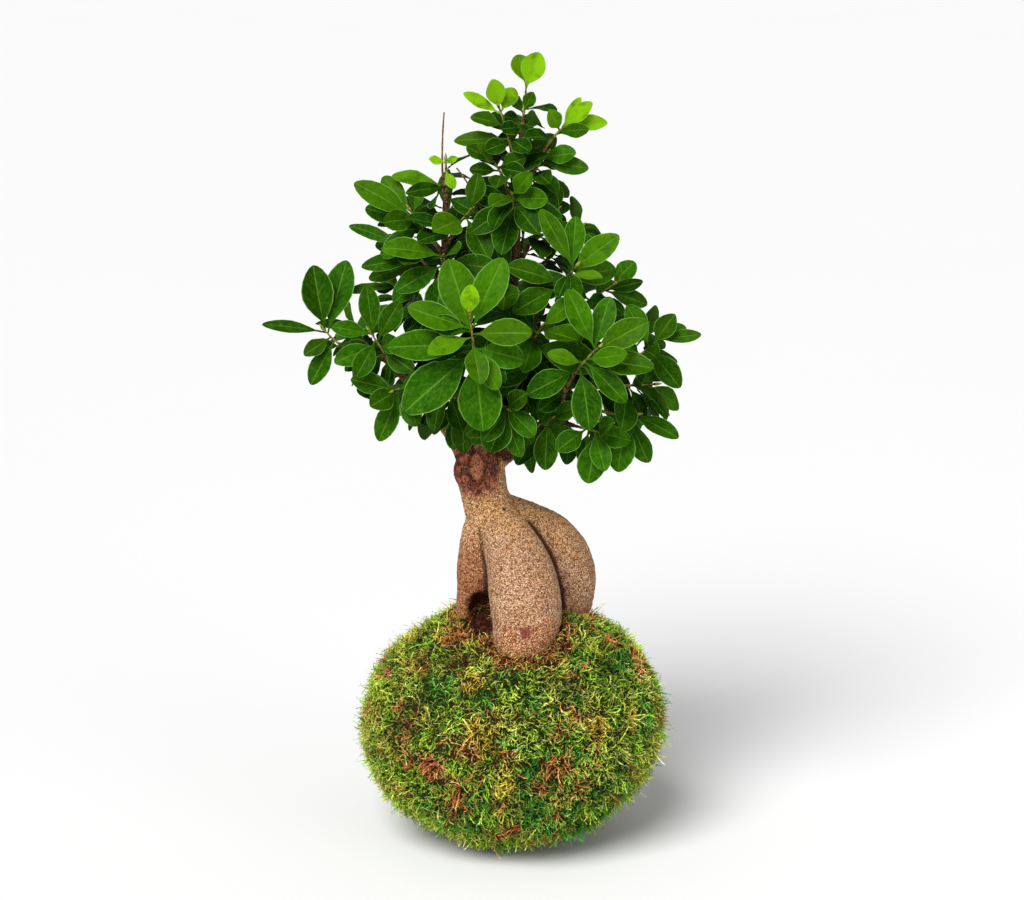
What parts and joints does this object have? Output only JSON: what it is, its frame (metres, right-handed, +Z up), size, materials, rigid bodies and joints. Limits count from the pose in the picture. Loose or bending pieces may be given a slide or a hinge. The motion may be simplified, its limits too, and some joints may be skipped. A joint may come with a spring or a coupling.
{
  "type": "kokedama moss ball plant",
  "caption": "Small fig tree with swollen roots, growing out of a moss-wrapped ball of soil that rests on a small flat spot.",
  "frame": {"origin": "middle of the small flat spot under the moss ball, on the surface that it rests on", "axes": "+Z up, from the flat spot through the ball; the side that the picture shows faces -Y, with +X to its right"},
  "size_m": [0.2815, 0.2256, 0.5199],
  "materials": {
    "moss": "matte",
    "soil": "matte",
    "bark": "matte",
    "leaf": "satin"
  },
  "bodies": {
    "root": {"moss_wrap": "moss", "soil_ball": "soil", "trunk": "bark", "shoot_front_rosette": "leaf", "shoot_top": "leaf", "shoot_top_left": "leaf", "shoot_top_right": "leaf", "shoot_upper_left": "leaf", "shoot_upper_right": "leaf", "shoot_mid_front": "leaf", "shoot_mid_right": "leaf", "shoot_left_top": "leaf", "shoot_left_upper": "leaf", "shoot_left_middle": "leaf", "shoot_between": "leaf", "shoot_left_front": "leaf", "shoot_right_rosette": "leaf", "shoot_right_front": "leaf", "shoot_right_far": "leaf", "shoot_right_edge": "leaf", "shoot_right_low": "leaf", "shoot_right_hanging": "leaf", "shoot_left_far": "leaf", "shoot_left_near": "leaf", "shoot_left_high": "leaf", "shoot_left_low": "leaf", "shoot_low_front": "leaf", "shoot_low_left": "leaf", "shoot_low_right": "leaf", "shoot_inner_right": "leaf", "shoot_inner": "leaf", "shoot_right_high": "leaf", "shoot_right_back": "leaf", "shoot_back_low_left": "leaf", "shoot_back_low": "leaf", "shoot_back_low_right": "leaf", "shoot_back_left": "leaf", "shoot_back_middle": "leaf", "shoot_back_right": "leaf", "shoot_back_side": "leaf", "shoot_back_upper_left": "leaf", "shoot_back_upper": "leaf", "shoot_back_far_left": "leaf", "shoot_back_high": "leaf"}
  },
  "joints": []
}
